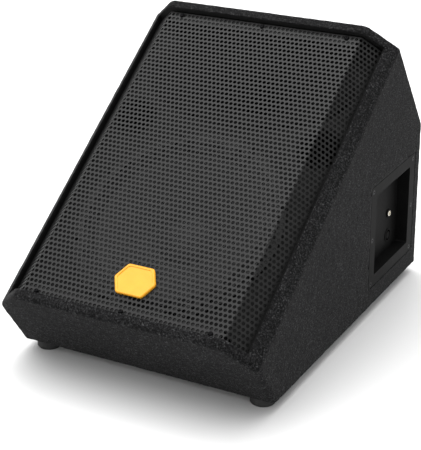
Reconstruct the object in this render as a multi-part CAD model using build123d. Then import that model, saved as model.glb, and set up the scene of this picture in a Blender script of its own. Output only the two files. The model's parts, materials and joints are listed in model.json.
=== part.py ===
"""Stage monitor wedge: a carpeted floor loudspeaker with a sloping, bevelled, grilled front.

Millimetres. +X is the cabinet's right side seen from the front, +Y runs from the front to the
back, +Z is up. The origin is the centre of the footprint, on the floor under the feet.

The front has a frame of its own, FRONT: local X runs across, local Y up the slope from the
lower front corner of the side panels, and local Z out of the cabinet towards the listener.
"""
from build123d import *
from math import cos, radians, sin, tan
import os

# ---------------------------------------------------------------- driving dimensions
WIDTH = 404.0             # across the cabinet, over the carpet
SLOPE = 34.5              # degrees by which the front rises from level
KICK_DEPTH = 89.4         # kick panel, from the underside to the side panels' front corner
FRONT_LENGTH = 543.6      # along the slope, from the kick panel's face to the top panel's face
TOP_DEPTH = 187.3         # top panel, from the front corner down to the back
TOP_ANGLE = 88.6          # degrees between the front and the top panel
FLAT_WIDTH = 320.0        # flat middle of the front, between the two bevels
EDGE_RISE = 43.0          # how far that flat stands out of the side panels' front corner
EDGE_RADIUS = 8.0         # rounding of the upright and front edges, over the carpet
TRIM_RADIUS = 3.5         # rounding round the top panel and the underside
CREASE_RADIUS = 20.0      # rounding between the flat of the front and its bevels
CARPET = 2.0
BOARD = 12.0
SIDE_BOARD = 15.0
BARE_EDGE = 2.0           # inner strip of the side panels' front edges that the carpet leaves bare
BAFFLE = 15.0
FOOT_HEIGHT = 15.0
FOOT_RADIUS = 18.0

GRILLE_RECESS = 8.0       # grille face below the cabinet's front edge
GRILLE_SHEET = 1.0
GRILLE_GAP = 0.8          # around the grille's free edges

WOOFER_PLACE = 186.0      # up the slope
HORN_PLACE = 444.0
PORT_PLACE = (150.0, 350.0)
BADGE_PLACE = 68.0

# ---------------------------------------------------------------- outline of the cabinet
SLOPE_DIRECTION = (cos(radians(SLOPE)), sin(radians(SLOPE)))
OUTWARD = (-SLOPE_DIRECTION[1], SLOPE_DIRECTION[0])


def step(start, direction, distance):
    """The point reached from start, in the Y-Z plane."""
    return (start[0] + direction[0] * distance, start[1] + direction[1] * distance)


def outline_from(kick_foot):
    """The five corners of the side view, clockwise from the foot of the kick panel."""
    kick_top = step(kick_foot, OUTWARD, KICK_DEPTH)
    front_top = step(kick_top, SLOPE_DIRECTION, FRONT_LENGTH)
    fall = radians(SLOPE - TOP_ANGLE)
    back_top = step(front_top, (cos(fall), sin(fall)), TOP_DEPTH)
    back_foot = (back_top[0], kick_foot[1])
    return kick_foot, kick_top, front_top, back_top, back_foot


unplaced = outline_from((0.0, FOOT_HEIGHT))
rounded_off = EDGE_RADIUS * (SLOPE_DIRECTION[0] + SLOPE_DIRECTION[1] - 1)
foremost = step(unplaced[1], OUTWARD, EDGE_RISE)[0] + rounded_off
KICK_FOOT_Y = -(foremost + unplaced[3][0]) / 2
KICK_FOOT, KICK_TOP, FRONT_TOP, BACK_TOP, BACK_FOOT = outline_from((KICK_FOOT_Y, FOOT_HEIGHT))

FRONT = Plane(origin=(0, *KICK_TOP), x_dir=(1, 0, 0), z_dir=(0, *OUTWARD))
SECTION = Plane(origin=(0, *KICK_TOP), x_dir=(1, 0, 0), z_dir=(0, -SLOPE_DIRECTION[0], -SLOPE_DIRECTION[1]))
RIGHT = Plane(origin=(0, *KICK_FOOT), x_dir=(0, 1, 0), z_dir=(1, 0, 0))
LEFT = Plane(origin=(0, *KICK_FOOT), x_dir=(0, -1, 0), z_dir=(-1, 0, 0))

SKIN = CARPET + BOARD     # from the carpet's face to the inside of a board
SIDE_SKIN = CARPET + SIDE_BOARD
INNER_WIDTH = WIDTH - 2 * SIDE_SKIN
ALONG_SLOPE = Vector(0, *SLOPE_DIRECTION)
TOUCHING = 0.6            # an edge's middle nearer to a face's plane than this lies on that face


def moved_line(start, end, depth):
    """The line through two points, moved to its right by depth: a point and a direction."""
    length = ((end[0] - start[0]) ** 2 + (end[1] - start[1]) ** 2) ** 0.5
    direction = ((end[0] - start[0]) / length, (end[1] - start[1]) / length)
    return (start[0] + direction[1] * depth, start[1] - direction[0] * depth), direction


def meet(first, second):
    """Where two lines cross."""
    (ay, az), (ady, adz) = first
    (by, bz), (bdy, bdz) = second
    along = ((by - ay) * bdz - (bz - az) * bdy) / (ady * bdz - adz * bdy)
    return (ay + along * ady, az + along * adz)


def kick_line(depth):
    return moved_line(KICK_FOOT, KICK_TOP, depth)


def front_line(depth):
    return moved_line(step(KICK_TOP, OUTWARD, EDGE_RISE), step(FRONT_TOP, OUTWARD, EDGE_RISE), depth)


def top_line(depth):
    return moved_line(FRONT_TOP, BACK_TOP, depth)


def back_line(depth):
    return moved_line(BACK_TOP, BACK_FOOT, depth)


def bottom_line(depth):
    return moved_line(BACK_FOOT, KICK_FOOT, depth)


def across(points, low, high):
    """A prism with a Y-Z outline that runs across the cabinet from x = low to x = high."""
    return extrude(Plane.YZ.offset(low) * make_face(Polyline(*points, close=True)), amount=high - low)


def between(line_a, line_b, end_a, end_b):
    """The four corners of a board between two long lines and two end lines."""
    return meet(line_a, end_a), meet(line_a, end_b), meet(line_b, end_b), meet(line_b, end_a)


def bevel_corners(depth):
    """The corners of the bevel in the front's cross-section, moved depth inwards."""
    flat = moved_line((0, EDGE_RISE), (FLAT_WIDTH / 2, EDGE_RISE), depth)
    bevel = moved_line((FLAT_WIDTH / 2, EDGE_RISE), (WIDTH / 2, 0), depth)
    side = moved_line((WIDTH / 2, 0), (WIDTH / 2, -1), depth)
    return meet(flat, bevel), meet(bevel, side)


def envelope(depth):
    """The whole cabinet as one rounded block, depth inside the carpet's face."""
    edges = [kick_line(depth), front_line(depth), top_line(depth), back_line(depth), bottom_line(depth)]
    corners = [meet(edges[i - 1], edges[i]) for i in range(len(edges))]
    block = across(corners, -WIDTH / 2, WIDTH / 2)
    inner, outer = bevel_corners(depth)
    low = -2 * KICK_DEPTH - FRONT_LENGTH
    section = [(outer[0], low), outer, inner, (-inner[0], inner[1]), (-outer[0], outer[1]), (-outer[0], low)]
    prism = extrude(SECTION * make_face(Polyline(*section, close=True)), amount=2 * FRONT_LENGTH, both=True)
    block = block & prism

    def runs_up_slope(edge):
        return abs((edge @ 1 - edge @ 0).normalized().dot(ALONG_SLOPE)) > 0.999

    def is_crease(edge):
        return runs_up_slope(edge) and abs(edge.center().X) < WIDTH / 2 - EDGE_RADIUS

    def is_trim(edge):
        centre = edge.center()
        (top_y, top_z), (along_y, along_z) = top_line(depth)
        below_top = (centre.Y - top_y) * along_z - (centre.Z - top_z) * along_y
        return min(abs(below_top), abs(centre.Z - KICK_FOOT[1] - depth)) < TOUCHING

    block = fillet(block.edges().filter_by(is_crease), CREASE_RADIUS - depth)
    plain = [edge for edge in block.edges() if not is_trim(edge) and not is_crease(edge)]
    block = fillet(plain, EDGE_RADIUS - depth)
    return fillet(block.edges().filter_by(is_trim), TRIM_RADIUS - depth)


# ---------------------------------------------------------------- small helpers
def turned(*points):
    """A solid of revolution about local Z, from an outline in radius and height."""
    return revolve(Plane.XZ * make_face(Polyline(*points, close=True)), axis=Axis.Z)


def ring(inner, outer, low, high):
    return turned((inner, low), (outer, low), (outer, high), (inner, high))


def rod(radius, low, high):
    return Pos(0, 0, (low + high) / 2) * Cylinder(radius, high - low)


def slab(length, height, low, high, corner=0.0):
    """A plate centred on local Z, from low to high, with rounded corners if asked."""
    shape = RectangleRounded(length, height, corner) if corner else Rectangle(length, height)
    return extrude(Pos(0, 0, low) * shape, amount=high - low)


def around(radius, count, start=0.0):
    """Places evenly spaced on a circle about local Z."""
    return [Rot(0, 0, start + 360 / count * i) * Pos(radius, 0, 0) for i in range(count)]


def together(pieces):
    return Compound(children=[solid for piece in pieces for solid in piece.solids()])


def screw(head_radius, head_height, shank_radius, shank_length, socket=1.4):
    """A pan-head screw with its head above local Z = 0 and a square drive recess."""
    head = turned((0, 0), (head_radius, 0), (head_radius, head_height * 0.5),
                  (head_radius * 0.6, head_height), (0, head_height))
    drive = Pos(0, 0, head_height) * Box(2 * socket, 2 * socket, head_height)
    return head - drive + rod(shank_radius, -shank_length, 0.0)


def flat_screw(head_radius, shank_radius, length, socket=1.1):
    """A countersunk screw with its head level with local Z = 0."""
    sink = head_radius - shank_radius
    body = turned((0, 0), (head_radius, 0), (shank_radius, -sink), (shank_radius, -length), (0, -length))
    return body - Box(2 * socket, 2 * socket, sink)


def countersink(head_radius, shank_radius, length):
    """The hole for a countersunk screw, with a little clearance all round."""
    play = 0.2
    sink = head_radius - shank_radius
    return turned((0, 1), (head_radius + play, 1), (head_radius + play, 0), (shank_radius + play, -sink),
                  (shank_radius + play, -length), (0, -length))


def wire(points, radius):
    """A wire of straight runs joined by arcs as large as the runs allow."""
    corners = []
    for before, here, after in zip(points, points[1:], points[2:]):
        run_in = Vector(*here) - Vector(*before)
        run_out = Vector(*after) - Vector(*here)
        turn = radians(run_in.get_angle(run_out))
        corners.append(0.45 * min(run_in.length, run_out.length) / tan(turn / 2))
    route = FilletPolyline(*points, radius=corners)
    start = Plane(origin=route @ 0, z_dir=route % 0)
    return sweep(start * Circle(radius), path=route)


# ---------------------------------------------------------------- side openings and fittings
PLATE_PLACE = (397.0, 112.8)     # connector plate's centre, from the kick panel's foot
PLATE_SIZE = (172.0, 162.0)
RECESS_SIZE = (132.0, 127.0)
RECESS_DEPTH = 19.0
PLATE_THICKNESS = 3.0
PLATE_CORNER = 3.0
PLATE_GAP = 0.8                  # dark line round a plate let into the carpet
JACK_PLACE = (425.5, 110.0)
SOCKET_PLACE = (428.0, 72.5)
JACK_RADIUS = 3.25               # for a quarter-inch plug
JACK_LENGTH = 28.0
PLATE_SCREW_ROWS = (-74.5, -3.5, 73.0)
PLATE_SCREW_COLUMNS = (-77.0, 77.0)

HANDLE_PLACE = (-215.0, 115.0)   # handle's centre on the left side, in LEFT's own frame
HANDLE_PLATE = (176.0, 118.0)
HANDLE_OPENING = (140.0, 84.0)
HANDLE_CORNER = 20.0
HANDLE_DEPTH = 55.0
GRIP_RADIUS = 11.0

FACE = WIDTH / 2                 # carpet's outer face, from the centre
PLATE_BACK = FACE - PLATE_THICKNESS
RECESS_FLOOR = FACE - RECESS_DEPTH
SCREW_HEAD = 3.6
SCREW_SHANK = 1.6
SCREW_LENGTH = 16.0


def on_right(place):
    return RIGHT * Pos(place[0], place[1], 0)


def on_left(place):
    return LEFT * Pos(place[0], place[1], 0)


def dish(plate, opening, depth, corner, screw_places):
    """A moulded plate let in flush with the carpet, with a recess whose walls reach inside."""
    flange = slab(plate[0], plate[1], PLATE_BACK, FACE, PLATE_CORNER)
    wall = slab(opening[0] + 2 * PLATE_THICKNESS, opening[1] + 2 * PLATE_THICKNESS,
                FACE - depth - PLATE_THICKNESS, PLATE_BACK + 1, corner + PLATE_THICKNESS)
    hollow = slab(opening[0], opening[1], FACE - depth, FACE + 1, corner)
    rim = fillet(flange.faces().sort_by(Axis.Z)[-1].edges(), 0.8)
    holes = [place * Pos(0, 0, FACE) * countersink(SCREW_HEAD, SCREW_SHANK, PLATE_THICKNESS + 1)
             for place in screw_places]
    return rim + wall - hollow - holes


def dish_cutter(plate, opening, corner):
    """The rebate and the hole that a dish needs through the carpet and the side panel."""
    margin = 2 * PLATE_THICKNESS + 1.0
    rebate = slab(plate[0] + 2 * PLATE_GAP, plate[1] + 2 * PLATE_GAP, PLATE_BACK, FACE + 1, PLATE_CORNER + PLATE_GAP)
    return rebate + slab(opening[0] + margin, opening[1] + margin, FACE - 2 * SIDE_SKIN, FACE, corner + 3.5)


def screw_row(to_side, screw_places):
    """Countersunk screws through a dish's flange into the side panel."""
    fixing = flat_screw(SCREW_HEAD, SCREW_SHANK, SCREW_LENGTH)
    return together([to_side * place * Pos(0, 0, FACE) * fixing for place in screw_places])


connector_cutter = on_right(PLATE_PLACE) * dish_cutter(PLATE_SIZE, RECESS_SIZE, PLATE_CORNER)
handle_cutter = on_left(HANDLE_PLACE) * dish_cutter(HANDLE_PLATE, HANDLE_OPENING, HANDLE_CORNER)
plate_screw_places = [Pos(x, y, 0) for x in PLATE_SCREW_COLUMNS for y in PLATE_SCREW_ROWS]
handle_screw_places = [Pos(x, y, 0) for x in (-80.0, 80.0) for y in (-51.0, 51.0)]
pilot = rod(SCREW_SHANK, FACE - SIDE_SKIN, FACE)
plate_screw_holes = [on_right(PLATE_PLACE) * place * pilot for place in plate_screw_places]
handle_screw_holes = [on_left(HANDLE_PLACE) * place * pilot for place in handle_screw_places]

FOOT_X = 172.5
FOOT_FRONT = KICK_FOOT[0] + 23.0
FOOT_BACK = BACK_FOOT[0] - 23.0
foot_places = [Pos(x, y, 0) for x in (-FOOT_X, FOOT_X) for y in (FOOT_FRONT, FOOT_BACK)]
foot_holes = [place * rod(2.0, FOOT_HEIGHT - 1, FOOT_HEIGHT + SKIN) for place in foot_places]

# ---------------------------------------------------------------- cabinet boards
cabinet_block = envelope(CARPET)


def make_side_panel(side):
    """One full side board; side is +1 for the right and -1 for the left."""
    low, high = sorted((side * INNER_WIDTH / 2, side * (WIDTH / 2 - CARPET)))
    outline = [(BACK_FOOT[0], KICK_FOOT[1]), (BACK_FOOT[0], FRONT_TOP[1] + EDGE_RISE),
               (KICK_TOP[0] - EDGE_RISE, FRONT_TOP[1] + EDGE_RISE), (KICK_TOP[0] - EDGE_RISE, KICK_FOOT[1])]
    board = across(outline, low, high) & cabinet_block
    if side > 0:
        return board - connector_cutter - plate_screw_holes
    return board - handle_cutter - handle_screw_holes


def make_cross_board(line, end_a, end_b):
    """A board between the side panels, one board thick behind the carpet."""
    corners = between(line(CARPET), line(SKIN), end_a, end_b)
    return across(corners, -INNER_WIDTH / 2, INNER_WIDTH / 2) & cabinet_block


def make_bottom_panel():
    board_holes = [ON_BOARD * place * rod(1.8, -20 - CIRCUIT, -10 - CIRCUIT) for place in board_fixings]
    return make_cross_board(bottom_line, back_line(SKIN), kick_line(SKIN)) - foot_holes - board_holes


def front_cutters():
    """Openings in the baffle for the woofer, the horn, the ports and their screws."""
    cutters = [Pos(0, WOOFER_PLACE, 0) * rod(WOOFER_CUTOUT, -BAFFLE - 1, 1)]
    cutters += [Pos(0, WOOFER_PLACE, 0) * place * rod(3.6, -BAFFLE - 1, 1) for place in woofer_screw_places]
    horn_hole = extrude(Pos(0, HORN_PLACE, -BAFFLE - 1) * Ellipse(*HORN_CUTOUT), amount=BAFFLE + 2)
    cutters.append(horn_hole)
    cutters += [place * rod(1.5, -BAFFLE, 1) for place in horn_screw_places]
    cutters += [Pos(side * PORT_PLACE[0], PORT_PLACE[1], 0) * rod(PORT_OUTER + 0.3, -BAFFLE - 1, 1)
                for side in (-1, 1)]
    return cutters


def make_baffle_board():
    front = moved_line(KICK_TOP, FRONT_TOP, 0)
    rear = moved_line(KICK_TOP, FRONT_TOP, BAFFLE)
    corners = between(front, rear, kick_line(SKIN), top_line(SKIN))
    board = across(corners, -INNER_WIDTH / 2, INNER_WIDTH / 2)
    return board - [FRONT * cutter for cutter in front_cutters()]


CLEAT = 18.0


def make_baffle_cleats():
    """Two strips that carry the baffle along the side panels."""
    strip = Box(CLEAT, WOOFER_PLACE + 100, CLEAT, align=(Align.CENTER, Align.MIN, Align.MAX))
    centre = INNER_WIDTH / 2 - CLEAT / 2
    return together([FRONT * Pos(side * centre, 2 * SKIN + 4, -BAFFLE) * strip for side in (-1, 1)])


GRILLE_FACE = EDGE_RISE - GRILLE_RECESS
BATTEN_DEPTH = 17.0
BATTEN_LENGTH = 300.0
GRILLE_SCREW_X = (-135.0, 0.0, 135.0)
GRILLE_SCREW_LOW = 20.0
GRILLE_SCREW_HIGH = 520.5
GRILLE_END = GRILLE_SCREW_HIGH + 5.0     # grille's upper edge, up the slope


def make_grille_battens():
    """Two strips across the baffle that take the grille's screws, the upper one rebated over the horn."""
    height = GRILLE_FACE - GRILLE_SHEET
    horn_rebate = extrude(Pos(0, HORN_PLACE, 0) * Ellipse(HORN_FLANGE[0] + 0.5, HORN_FLANGE[1] + 0.5), amount=4.2)
    battens = []
    for low, screw_row in ((SKIN, GRILLE_SCREW_LOW), (GRILLE_END - BATTEN_DEPTH, GRILLE_SCREW_HIGH)):
        strip = Pos(0, low + BATTEN_DEPTH / 2, height / 2) * Box(BATTEN_LENGTH, BATTEN_DEPTH, height)
        holes = [Pos(x, screw_row, 0) * rod(1.5, height - 17, height + 1) for x in GRILLE_SCREW_X]
        battens.append(FRONT * (strip - holes - horn_rebate))
    return together(battens)


BLOCK = 20.0


def make_corner_battens():
    """Square glue blocks along the bottom panel, down both sides and across the back."""
    floor = FOOT_HEIGHT + SKIN
    back = BACK_FOOT[0] - SKIN
    low = KICK_FOOT[0] + 60
    length = back - BLOCK - low
    pieces = [Pos(side * (INNER_WIDTH - BLOCK) / 2, low + length / 2, floor + BLOCK / 2)
              * Box(BLOCK, length, BLOCK) for side in (-1, 1)]
    pieces.append(Pos(0, back - BLOCK / 2, floor + BLOCK / 2) * Box(INNER_WIDTH, BLOCK, BLOCK))
    return together(pieces)


def make_carpet_cover():
    """Needle-felt glued over the boards and over most of their front edges."""
    cavity_corners = between(kick_line(SKIN), top_line(SKIN), front_line(-EDGE_RISE), front_line(EDGE_RISE))
    half_opening = INNER_WIDTH / 2 + BARE_EDGE
    cavity = across(cavity_corners, -half_opening, half_opening)
    cover = envelope(0.0) - cabinet_block - cavity - connector_cutter - handle_cutter
    return cover - foot_holes


def make_damping_wadding():
    """A pad of wadding on the inside of the back panel."""
    inside = BACK_FOOT[0] - SKIN
    return Pos(0, inside - 10, FOOT_HEIGHT + 122) * Box(INNER_WIDTH - 44, 20, 160)


# ---------------------------------------------------------------- grille and badge
def make_grille():
    """Folded steel sheet with a flat middle and a bent flank down each bevel."""
    edge = INNER_WIDTH / 2 - GRILLE_GAP
    bevel = moved_line((FLAT_WIDTH / 2, EDGE_RISE), (WIDTH / 2, 0), GRILLE_RECESS)
    bevel_back = moved_line((FLAT_WIDTH / 2, EDGE_RISE), (WIDTH / 2, 0), GRILLE_RECESS + GRILLE_SHEET)
    limit = moved_line((edge, EDGE_RISE), (edge, 0), 0)
    face = moved_line((0, GRILLE_FACE), (1, GRILLE_FACE), 0)
    back = moved_line((0, GRILLE_FACE), (1, GRILLE_FACE), GRILLE_SHEET)
    right = [meet(face, bevel), meet(bevel, limit), meet(bevel_back, limit), meet(back, bevel_back)]
    left = [(-x, n) for x, n in reversed(right)]
    start = SKIN + GRILLE_GAP
    outline = Plane.XZ * make_face(Polyline(*right, *left, close=True))
    sheet = Pos(0, GRILLE_END, 0) * extrude(outline, amount=GRILLE_END - start)
    holes = [Pos(x, v, 0) * rod(2.3, 0, EDGE_RISE) for x in GRILLE_SCREW_X
             for v in (GRILLE_SCREW_LOW, GRILLE_SCREW_HIGH)]
    holes += [place * rod(CLIP_RADIUS + 0.2, 0, EDGE_RISE) for place in badge_clip_places]
    return FRONT * (sheet - holes)


def make_grille_screws():
    return together([FRONT * Pos(x, v, GRILLE_FACE) * screw(3.6, 2.4, 1.5, 16, socket=0.9)
                     for x in GRILLE_SCREW_X for v in (GRILLE_SCREW_LOW, GRILLE_SCREW_HIGH)])


BADGE_WIDTH = 64.0
BADGE_HEIGHT = 46.0
BADGE_THICKNESS = 4.0
BADGE_RIM = 3.5
CLIP_RADIUS = 2.2
badge_clip_places = [Pos(side * BADGE_WIDTH / 4, BADGE_PLACE, 0) for side in (-1, 1)]


def badge_outline(inset):
    """A blank six-sided shield, wider than tall."""
    half = BADGE_WIDTH / 2 - inset * 1.2
    shoulder = half * 0.62
    rise = BADGE_HEIGHT / 2 - inset
    points = [(half, 0), (shoulder, rise), (-shoulder, rise), (-half, 0), (-shoulder, -rise), (shoulder, -rise)]
    face = make_face(Polyline(*points, close=True))
    return fillet(face.vertices(), 5.0)


def make_badge():
    body = extrude(badge_outline(0.0), amount=BADGE_THICKNESS)
    body = chamfer(body.faces().sort_by(Axis.Z)[-1].edges(), 1.2)
    field = extrude(Pos(0, 0, BADGE_THICKNESS - 0.8) * badge_outline(BADGE_RIM), amount=1)
    return FRONT * Pos(0, BADGE_PLACE, GRILLE_FACE) * (body - field)


def make_badge_clips():
    """Studs from the badge through the grille, each with a push-on washer behind."""
    back = GRILLE_FACE - GRILLE_SHEET
    stud = rod(CLIP_RADIUS, back - 6, GRILLE_FACE) + rod(5.0, back - 1.2, back)
    return together([FRONT * place * stud for place in badge_clip_places])


# ---------------------------------------------------------------- woofer, in its own frame
WOOFER_RADIUS = 155.0
WOOFER_CUTOUT = 141.0
WOOFER_SCREW_CIRCLE = 150.0
FLANGE = 3.0
CONE_EDGE = 122.0
COIL_RADIUS = 25.0        # inside of the coil former
FORMER = 0.3
WINDING = 1.0
POLE_RADIUS = 24.0
GAP_RADIUS = 27.0
SPIDER_SHELF = -62.0
BASE = -79.0              # back of the basket, front of the top plate
TOP_PLATE = 8.0
MAGNET_HEIGHT = 20.0
BACK_PLATE = 8.0
SHEET = 2.5               # basket metal
FIT_GAP = 0.3             # between the moving parts and what flexes beside them

woofer_screw_places = around(WOOFER_SCREW_CIRCLE, 8, 22.5)
TO_WOOFER = FRONT * Pos(0, WOOFER_PLACE, 0)


def make_woofer_basket():
    wall_foot = -22.0
    shell = turned((137, 0), (WOOFER_RADIUS, 0), (WOOFER_RADIUS, FLANGE), (140 - SHEET, FLANGE),
                   (132 - SHEET, wall_foot + 2), (82 - SHEET, SPIDER_SHELF),
                   (70 - SHEET, SPIDER_SHELF), (70 - SHEET, BASE + SHEET), (30, BASE + SHEET), (30, BASE),
                   (70, BASE), (70, SPIDER_SHELF - SHEET), (82, SPIDER_SHELF - SHEET), (132, wall_foot - 1))
    arms = [Rot(0, 0, 45 * i) * Pos(107, 0, -40) * Box(34, 46, 60) for i in range(8)]
    band = ring(91, 124, SPIDER_SHELF + 1, wall_foot - 3)
    windows = [arm & band for arm in arms]
    holes = [place * rod(2.7, -1, FLANGE + 1) for place in woofer_screw_places]
    return TO_WOOFER * (shell - windows - holes)


LIP_INNER = 139.0
LIP_OUTER = 145.0
LIP = 0.8


def wave_shell(inner, outer, height, ends, waves, thickness):
    """A pleated ring: a sine-wave band between two radii, from one end height to the other."""
    count = 12 * waves
    upper = []
    for i in range(count + 1):
        part = i / count
        level = ends[0] + (ends[1] - ends[0]) * part
        upper.append((inner + (outer - inner) * part, level + height * sin(radians(180 * waves * part)) ** 2))
    lower = [(r, n - thickness) for r, n in reversed(upper)]
    return turned(*upper, *lower)


def make_woofer_surround():
    """Pleated cloth from the cone's edge to the basket's flange."""
    pleats = wave_shell(CONE_EDGE + FIT_GAP, LIP_INNER, 4.5, (0.8, FLANGE + LIP), 2, LIP)
    return TO_WOOFER * (pleats + ring(LIP_INNER, LIP_OUTER, FLANGE, FLANGE + LIP))


def make_woofer_gasket():
    return TO_WOOFER * ring(LIP_INNER + 0.5, LIP_OUTER, FLANGE + LIP, FLANGE + LIP + 3)


def make_woofer_screws():
    place_all = [TO_WOOFER * place * Pos(0, 0, FLANGE) for place in woofer_screw_places]
    return together([place * screw(4.4, 3.0, 2.4, 26) for place in place_all])


def make_woofer_tee_nuts():
    nut = ring(2.5, 3.5, -BAFFLE, -BAFFLE + 9) + ring(2.5, 8.0, -BAFFLE - 1.5, -BAFFLE)
    return together([TO_WOOFER * place * nut for place in woofer_screw_places])


def make_woofer_top_plate():
    return TO_WOOFER * ring(GAP_RADIUS, 65, BASE - TOP_PLATE, BASE)


def make_woofer_magnet():
    top = BASE - TOP_PLATE
    body = ring(40, 78, top - MAGNET_HEIGHT, top)
    return TO_WOOFER * chamfer(body.edges().filter_by(GeomType.CIRCLE).group_by(SortBy.RADIUS)[-1], 1.5)


def make_woofer_back_plate():
    """Back plate and vented pole piece in one turning."""
    top = BASE - TOP_PLATE - MAGNET_HEIGHT
    return TO_WOOFER * turned((8, top - BACK_PLATE), (65, top - BACK_PLATE), (68, top - 3), (68, top),
                              (POLE_RADIUS, top), (POLE_RADIUS, BASE), (8, BASE))


CONE_NECK = -50.0
PAPER = 1.0
CAP_RADIUS = 42.0


def cone_level(radius):
    """Height of the cone's front face at a radius."""
    part = (radius - COIL_RADIUS - FORMER) / (CONE_EDGE - COIL_RADIUS - FORMER)
    return CONE_NECK + part * (0.5 - CONE_NECK)


def make_woofer_cone():
    neck = COIL_RADIUS + FORMER
    return TO_WOOFER * turned((neck, CONE_NECK), (CONE_EDGE, 0.5), (CONE_EDGE, 0.5 - PAPER),
                              (neck, CONE_NECK - PAPER))


def make_woofer_dust_cap():
    """A shallow dome glued on the cone over the voice coil."""
    rim = cone_level(CAP_RADIUS)
    rise = 13.0
    arc_radius = (CAP_RADIUS ** 2 + rise ** 2) / (2 * rise)
    centre = rim + rise - arc_radius
    shell = Pos(0, 0, centre) * (Sphere(arc_radius) - Sphere(arc_radius - 0.8))
    return TO_WOOFER * (shell & rod(CAP_RADIUS, rim, rim + rise + 1))


def make_woofer_coil_former():
    return TO_WOOFER * ring(COIL_RADIUS, COIL_RADIUS + FORMER, BASE - TOP_PLATE - 4, CONE_NECK)


def make_woofer_coil():
    outside = COIL_RADIUS + FORMER
    middle = BASE - TOP_PLATE / 2
    return TO_WOOFER * ring(outside, outside + WINDING, middle - 7, middle + 7)


def make_woofer_spider():
    """Corrugated cloth disc that centres the coil."""
    shelf_edge = 68.0
    inner = COIL_RADIUS + FORMER + FIT_GAP
    disc = wave_shell(inner, shelf_edge, 2.5, (SPIDER_SHELF + 0.6, SPIDER_SHELF + 0.6), 6, 0.6)
    return TO_WOOFER * (disc + ring(shelf_edge, 78, SPIDER_SHELF, SPIDER_SHELF + 0.6))


def make_woofer_terminals():
    """A tag strip on the basket's back wall, with two solder tags."""
    strip = Pos(0, 71.5, -70.5) * Box(26, 3, 9)
    tags = [Pos(x, 76, -70.5) * Box(5, 6, 0.8) for x in (-8, 8)]
    return TO_WOOFER * (strip + tags)


# ---------------------------------------------------------------- horn and compression driver
HORN_FLANGE = (165.0, 81.0)
HORN_MOUTH = (146.0, 62.0)
HORN_CUTOUT = (150.5, 66.5)
HORN_SCREW_RING = (158.0, 74.0)
HORN_LENGTH = 95.0
THROAT = 12.7
HORN_WALL = 3.0
DRIVER_RADIUS = 42.0
TO_HORN = FRONT * Pos(0, HORN_PLACE, 0)

horn_screw_places = [Pos(HORN_SCREW_RING[0] * cos(radians(angle)),
                         HORN_PLACE + HORN_SCREW_RING[1] * sin(radians(angle)), 0)
                     for angle in (0, 50, 130, 180, 230, 310)]


def flare(extra):
    """An exponential flare from the round throat to the wide mouth, extra larger all round."""
    sections = []
    for i in range(5):
        part = i / 4
        wide = THROAT * (HORN_MOUTH[0] / THROAT) ** part + extra
        tall = THROAT * (HORN_MOUTH[1] / THROAT) ** part + extra
        shape = Ellipse(wide, tall) if i else Circle(wide)
        sections.append(Pos(0, 0, -HORN_LENGTH * (1 - part)) * shape)
    return loft(sections)


def make_horn():
    flange = extrude(Ellipse(*HORN_FLANGE), amount=4)
    mouth = extrude(Pos(0, 0, -1) * Ellipse(*HORN_MOUTH), amount=6)
    throat_flange = rod(37.0, -HORN_LENGTH - 6, -HORN_LENGTH)
    throat = rod(THROAT, -HORN_LENGTH - 7, -HORN_LENGTH + 1)
    body = flare(HORN_WALL) + flange + throat_flange - flare(0.0) - mouth - throat
    holes = [FRONT * place * rod(2.0, -1, 5) for place in horn_screw_places]
    return TO_HORN * body - holes


def make_horn_screws():
    return together([FRONT * place * Pos(0, 0, 4) * screw(4.0, 2.6, 1.5, 17) for place in horn_screw_places])


DRIVER_FRONT = -HORN_LENGTH - 6
POLE_PLATE = 7.0
DRIVER_MAGNET = 14.0
DRIVER_TOP_PLATE = 6.0
DRIVER_POLE = 21.0
DRIVER_GAP = 23.0
DRIVER_SEAT = DRIVER_FRONT - POLE_PLATE - DRIVER_MAGNET - DRIVER_TOP_PLATE
DIAPHRAGM_RADIUS = 22.2


def make_driver_pole_plate():
    """The plate at the horn with the hollow pole that carries the phase plug."""
    back = DRIVER_FRONT - POLE_PLATE
    return TO_HORN * turned((THROAT, DRIVER_FRONT), (DRIVER_RADIUS, DRIVER_FRONT), (DRIVER_RADIUS, back),
                            (DRIVER_POLE, back), (DRIVER_POLE, DRIVER_SEAT), (THROAT + 5, DRIVER_SEAT))


def make_driver_magnet():
    back = DRIVER_FRONT - POLE_PLATE
    return TO_HORN * ring(28, DRIVER_RADIUS + 4, back - DRIVER_MAGNET, back)


def make_driver_top_plate():
    return TO_HORN * ring(DRIVER_GAP, DRIVER_RADIUS, DRIVER_SEAT, DRIVER_SEAT + DRIVER_TOP_PLATE)


def make_driver_phase_plug():
    """A bullet held in the pole's bore by three webs."""
    bullet = turned((0, DRIVER_FRONT - 3), (5, DRIVER_FRONT - 10), (11, DRIVER_SEAT), (0, DRIVER_SEAT))
    webs = [Rot(0, 0, angle) * Pos(THROAT / 2, 0, DRIVER_FRONT - 12) * Box(THROAT, 1.6, 8)
            for angle in (90, 210, 330)]
    return TO_HORN * ((bullet + webs) & rod(THROAT, DRIVER_SEAT, DRIVER_FRONT))


def make_driver_diaphragm():
    """Thin metal dome with its coil skirt in the magnet's gap."""
    base = DRIVER_SEAT - 1.5
    rise = 7.0
    arc_radius = (DIAPHRAGM_RADIUS ** 2 + rise ** 2) / (2 * rise)
    shell = Pos(0, 0, base - rise + arc_radius) * (Sphere(arc_radius) - Sphere(arc_radius - 0.4))
    dome = shell & rod(DIAPHRAGM_RADIUS, base - rise - 1, base)
    return TO_HORN * (dome + ring(DIAPHRAGM_RADIUS - 0.4, DIAPHRAGM_RADIUS, base - 0.5, DRIVER_SEAT + 5))


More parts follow.
